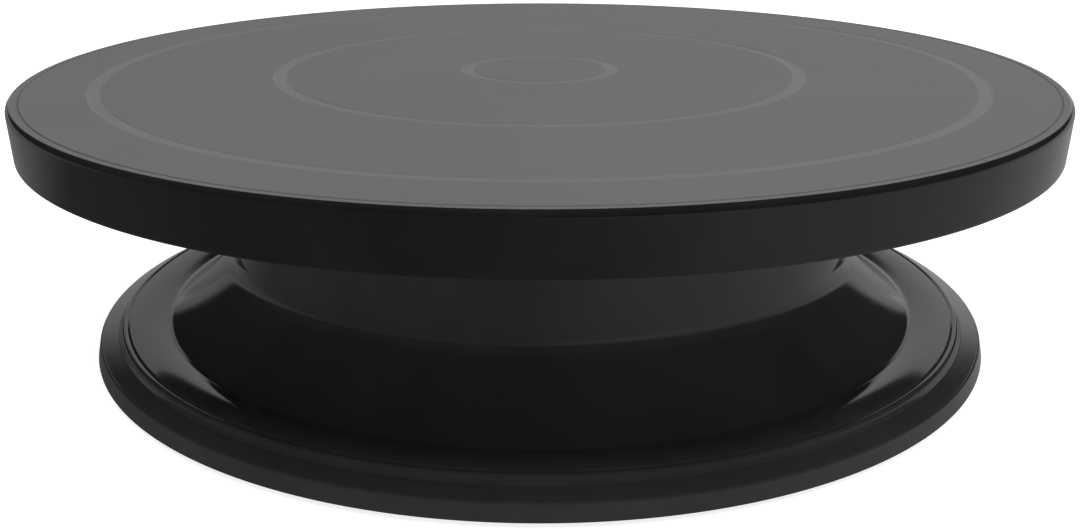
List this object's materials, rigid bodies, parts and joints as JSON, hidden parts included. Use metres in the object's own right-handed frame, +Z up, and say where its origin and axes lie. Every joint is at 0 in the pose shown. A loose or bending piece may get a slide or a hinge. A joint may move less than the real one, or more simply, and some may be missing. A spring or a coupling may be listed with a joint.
{
  "type": "sculpting turntable",
  "caption": "Round moulded turntable for modelling work: a flat plate with shallow centring rings turns on a ball race over a flared drum base.",
  "frame": {"origin": "on the table, under the centre of the plate", "axes": "+Z up along the axis that the plate turns about; -Y is the viewed front"},
  "size_m": [0.28, 0.28, 0.073],
  "materials": {
    "plate_plastic": "satin moulded",
    "base_plastic": "gloss moulded",
    "cap_plastic": "satin moulded",
    "insert_brass": "turned",
    "spindle_steel": "ground",
    "bush_acetal": "turned",
    "washer_nylon": "punched",
    "cage_nylon": "moulded",
    "race_steel": "pressed, polished track",
    "spring_steel": "blued",
    "nut_steel": "zinc plated",
    "ball_steel": "polished",
    "foot_rubber": "matt"
  },
  "bodies": {
    "base": {"base_shell": "base_plastic", "spindle_bush": "bush_acetal", "thrust_washer": "washer_nylon", "lower_race": "race_steel", "hub_cap": "cap_plastic", "foot_1": "foot_rubber", "foot_2": "foot_rubber", "foot_3": "foot_rubber", "foot_4": "foot_rubber", "foot_5": "foot_rubber", "foot_6": "foot_rubber"},
    "plate": {"turntable_plate": "plate_plastic", "spindle_insert": "insert_brass", "centre_spindle": "spindle_steel", "upper_race": "race_steel", "disc_spring": "spring_steel", "lock_nut": "nut_steel"},
    "cage": {"ball_cage": "cage_nylon"},
    "ball_01": {"ball_01": "ball_steel"},
    "ball_02": {"ball_02": "ball_steel"},
    "ball_03": {"ball_03": "ball_steel"},
    "ball_04": {"ball_04": "ball_steel"},
    "ball_05": {"ball_05": "ball_steel"},
    "ball_06": {"ball_06": "ball_steel"},
    "ball_07": {"ball_07": "ball_steel"},
    "ball_08": {"ball_08": "ball_steel"},
    "ball_09": {"ball_09": "ball_steel"},
    "ball_10": {"ball_10": "ball_steel"},
    "ball_11": {"ball_11": "ball_steel"},
    "ball_12": {"ball_12": "ball_steel"},
    "ball_13": {"ball_13": "ball_steel"},
    "ball_14": {"ball_14": "ball_steel"},
    "ball_15": {"ball_15": "ball_steel"},
    "ball_16": {"ball_16": "ball_steel"}
  },
  "joints": [
    {"name": "plate_spin", "type": "hinge", "parent": "base", "child": "plate", "pos_m": [0, 0, 0], "axis": [0, 0, 1], "continuous": true},
    {"name": "cage_orbit", "type": "hinge", "parent": "base", "child": "cage", "pos_m": [0, 0, 0], "axis": [0, 0, 1], "continuous": true},
    {"name": "ball_01_roll", "type": "hinge", "parent": "cage", "child": "ball_01", "pos_m": [0.07, 0, 0.06235], "axis": [1, 0, 0], "continuous": true},
    {"name": "ball_02_roll", "type": "hinge", "parent": "cage", "child": "ball_02", "pos_m": [0.06467, 0.02679, 0.06235], "axis": [0.9239, 0.3827, 0], "continuous": true},
    {"name": "ball_03_roll", "type": "hinge", "parent": "cage", "child": "ball_03", "pos_m": [0.0495, 0.0495, 0.06235], "axis": [0.7071, 0.7071, 0], "continuous": true},
    {"name": "ball_04_roll", "type": "hinge", "parent": "cage", "child": "ball_04", "pos_m": [0.02679, 0.06467, 0.06235], "axis": [0.3827, 0.9239, 0], "continuous": true},
    {"name": "ball_05_roll", "type": "hinge", "parent": "cage", "child": "ball_05", "pos_m": [0, 0.07, 0.06235], "axis": [0, 1, 0], "continuous": true},
    {"name": "ball_06_roll", "type": "hinge", "parent": "cage", "child": "ball_06", "pos_m": [-0.02679, 0.06467, 0.06235], "axis": [-0.3827, 0.9239, 0], "continuous": true},
    {"name": "ball_07_roll", "type": "hinge", "parent": "cage", "child": "ball_07", "pos_m": [-0.0495, 0.0495, 0.06235], "axis": [-0.7071, 0.7071, 0], "continuous": true},
    {"name": "ball_08_roll", "type": "hinge", "parent": "cage", "child": "ball_08", "pos_m": [-0.06467, 0.02679, 0.06235], "axis": [-0.9239, 0.3827, 0], "continuous": true},
    {"name": "ball_09_roll", "type": "hinge", "parent": "cage", "child": "ball_09", "pos_m": [-0.07, 0, 0.06235], "axis": [-1, 0, 0], "continuous": true},
    {"name": "ball_10_roll", "type": "hinge", "parent": "cage", "child": "ball_10", "pos_m": [-0.06467, -0.02679, 0.06235], "axis": [-0.9239, -0.3827, 0], "continuous": true},
    {"name": "ball_11_roll", "type": "hinge", "parent": "cage", "child": "ball_11", "pos_m": [-0.0495, -0.0495, 0.06235], "axis": [-0.7071, -0.7071, 0], "continuous": true},
    {"name": "ball_12_roll", "type": "hinge", "parent": "cage", "child": "ball_12", "pos_m": [-0.02679, -0.06467, 0.06235], "axis": [-0.3827, -0.9239, 0], "continuous": true},
    {"name": "ball_13_roll", "type": "hinge", "parent": "cage", "child": "ball_13", "pos_m": [0, -0.07, 0.06235], "axis": [0, -1, 0], "continuous": true},
    {"name": "ball_14_roll", "type": "hinge", "parent": "cage", "child": "ball_14", "pos_m": [0.02679, -0.06467, 0.06235], "axis": [0.3827, -0.9239, 0], "continuous": true},
    {"name": "ball_15_roll", "type": "hinge", "parent": "cage", "child": "ball_15", "pos_m": [0.0495, -0.0495, 0.06235], "axis": [0.7071, -0.7071, 0], "continuous": true},
    {"name": "ball_16_roll", "type": "hinge", "parent": "cage", "child": "ball_16", "pos_m": [0.06467, -0.02679, 0.06235], "axis": [0.9239, -0.3827, 0], "continuous": true}
  ],
  "couplings": [
    {"joint": "cage_orbit", "follows": "plate_spin", "ratio": 0.5},
    {"joint": "ball_01_roll", "follows": "plate_spin", "ratio": -11.667},
    {"joint": "ball_02_roll", "follows": "plate_spin", "ratio": -11.667},
    {"joint": "ball_03_roll", "follows": "plate_spin", "ratio": -11.667},
    {"joint": "ball_04_roll", "follows": "plate_spin", "ratio": -11.667},
    {"joint": "ball_05_roll", "follows": "plate_spin", "ratio": -11.667},
    {"joint": "ball_06_roll", "follows": "plate_spin", "ratio": -11.667},
    {"joint": "ball_07_roll", "follows": "plate_spin", "ratio": -11.667},
    {"joint": "ball_08_roll", "follows": "plate_spin", "ratio": -11.667},
    {"joint": "ball_09_roll", "follows": "plate_spin", "ratio": -11.667},
    {"joint": "ball_10_roll", "follows": "plate_spin", "ratio": -11.667},
    {"joint": "ball_11_roll", "follows": "plate_spin", "ratio": -11.667},
    {"joint": "ball_12_roll", "follows": "plate_spin", "ratio": -11.667},
    {"joint": "ball_13_roll", "follows": "plate_spin", "ratio": -11.667},
    {"joint": "ball_14_roll", "follows": "plate_spin", "ratio": -11.667},
    {"joint": "ball_15_roll", "follows": "plate_spin", "ratio": -11.667},
    {"joint": "ball_16_roll", "follows": "plate_spin", "ratio": -11.667}
  ]
}
